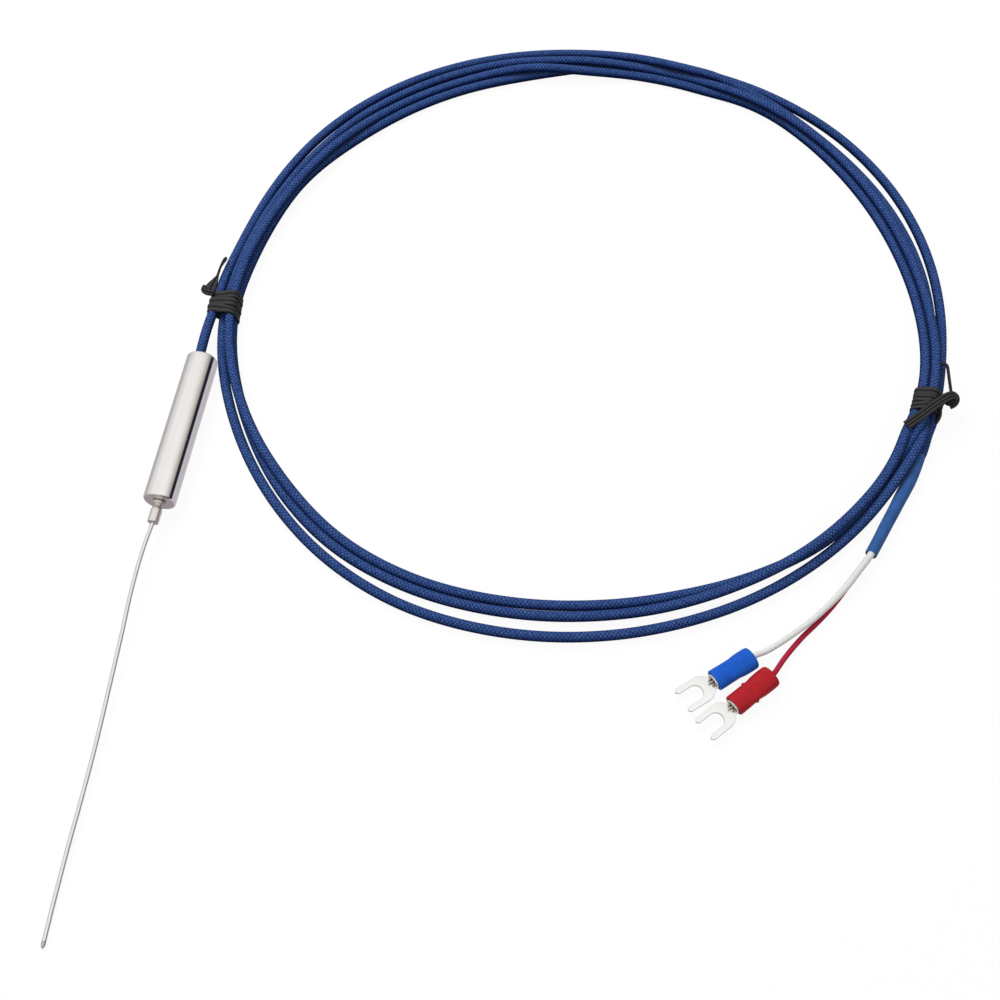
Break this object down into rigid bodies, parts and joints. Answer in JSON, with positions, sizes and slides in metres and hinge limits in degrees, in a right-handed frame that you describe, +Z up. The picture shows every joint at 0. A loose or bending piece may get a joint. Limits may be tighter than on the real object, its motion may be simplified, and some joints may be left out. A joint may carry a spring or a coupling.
{
  "type": "thermocouple probe",
  "caption": "Thin metal-sheathed thermocouple probe with a stepped ferrule, a cylindrical transition barrel and a coiled braided cord ending in insulated fork terminals",
  "frame": {"origin": "on the surface that the probe lies on, under the middle of the probe's own box, its cord left out", "axes": "the barrel lies along Y, the probe tip points towards -Y, the cord leaves towards +Y and is coiled on the +X side, Z is up"},
  "size_m": [0.198, 0.2729, 0.008],
  "materials": {
    "probe_sheath": "bright drawn",
    "tip_weld": "dull weld bead",
    "mineral_insulation": "packed powder",
    "hot_junction": "dull weld bead",
    "positive_thermoelement": "drawn wire",
    "negative_thermoelement": "drawn wire",
    "ferrule": "turned",
    "transition_barrel": "polished",
    "potting_compound": "cast resin",
    "positive_splice": "crimped",
    "negative_splice": "crimped",
    "positive_extension_core": "stranded wire",
    "negative_extension_core": "stranded wire",
    "rear_plug": "cast resin",
    "cord_lead": "braided",
    "cord_coil": "braided",
    "cord_tail": "braided",
    "left_tie": "ridged strip",
    "right_tie": "ridged strip",
    "heat_shrink_sleeve": "shrunk tubing",
    "white_lead": "smooth",
    "red_lead": "smooth",
    "white_conductor": "stranded wire",
    "red_conductor": "stranded wire",
    "blue_terminal_sleeve": "smooth",
    "red_terminal_sleeve": "smooth",
    "blue_fork_terminal": "tinned",
    "red_fork_terminal": "tinned"
  },
  "bodies": {
    "root": {"probe_sheath": "probe_sheath", "tip_weld": "tip_weld", "mineral_insulation": "mineral_insulation", "hot_junction": "hot_junction", "positive_thermoelement": "positive_thermoelement", "negative_thermoelement": "negative_thermoelement", "ferrule": "ferrule", "transition_barrel": "transition_barrel", "potting_compound": "potting_compound", "positive_splice": "positive_splice", "negative_splice": "negative_splice", "positive_extension_core": "positive_extension_core", "negative_extension_core": "negative_extension_core", "rear_plug": "rear_plug", "cord_lead": "cord_lead", "cord_coil": "cord_coil", "cord_tail": "cord_tail", "left_tie": "left_tie", "right_tie": "right_tie", "heat_shrink_sleeve": "heat_shrink_sleeve", "white_lead": "white_lead", "red_lead": "red_lead", "white_conductor": "white_conductor", "red_conductor": "red_conductor", "blue_terminal_sleeve": "blue_terminal_sleeve", "red_terminal_sleeve": "red_terminal_sleeve", "blue_fork_terminal": "blue_fork_terminal", "red_fork_terminal": "red_fork_terminal"}
  },
  "joints": []
}
